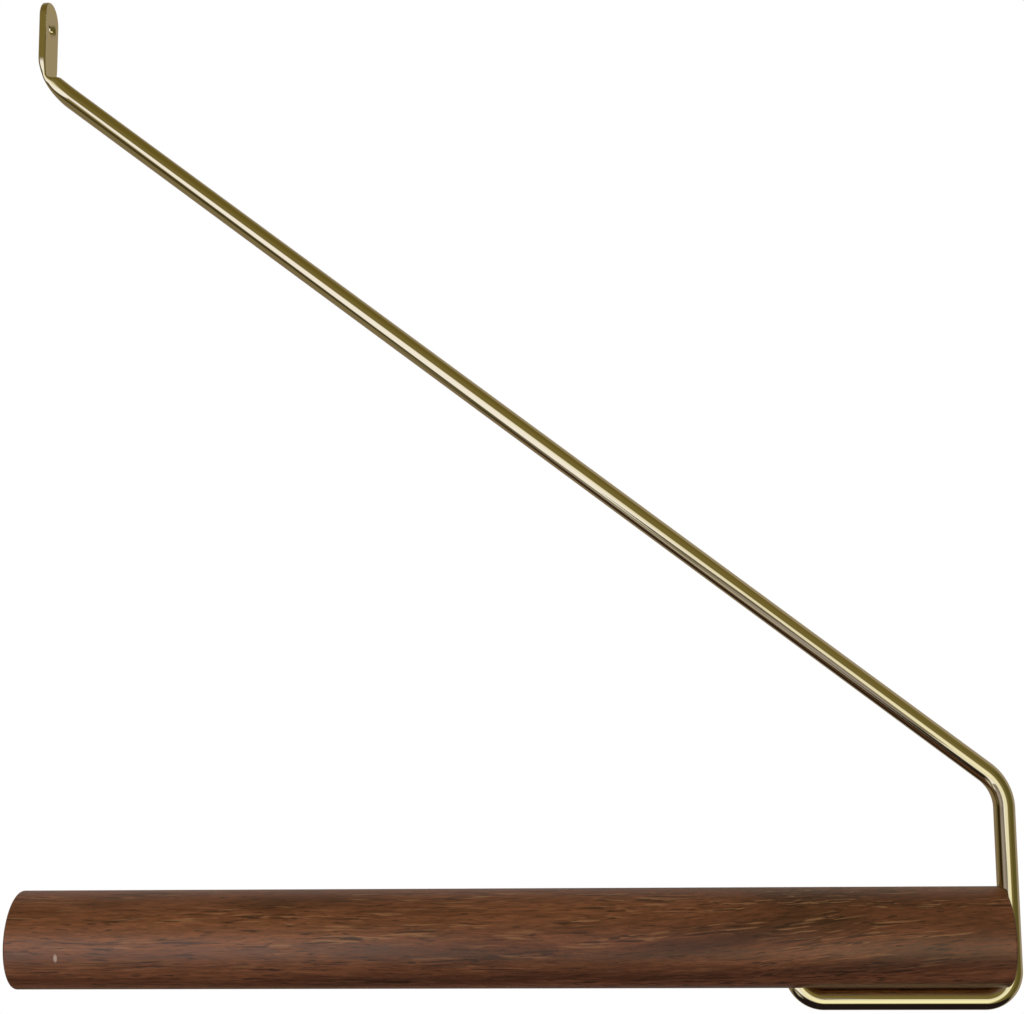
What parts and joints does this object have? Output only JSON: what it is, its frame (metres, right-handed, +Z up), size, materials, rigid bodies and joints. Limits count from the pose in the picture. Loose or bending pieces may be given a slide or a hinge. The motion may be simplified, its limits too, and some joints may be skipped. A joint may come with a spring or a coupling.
{
  "type": "wall coat rack",
  "caption": "Wall coat rack: a turned wooden arm stands out from the wall and hangs from a bent brass stay that is screwed to the wall above it.",
  "frame": {"origin": "centre of the arm's wall end, in the wall's plane", "axes": "+X out of the wall along the arm, +Z up, the stay lies in the plane y = 0"},
  "size_m": [0.3323, 0.032, 0.3528],
  "materials": {
    "walnut": "satin lacquered walnut, turned and sanded",
    "polished_brass": "polished and lacquered",
    "insert_brass": "as machined"
  },
  "bodies": {
    "root": {"arm": "walnut", "stay": "polished_brass", "threaded_insert": "insert_brass"}
  },
  "joints": []
}
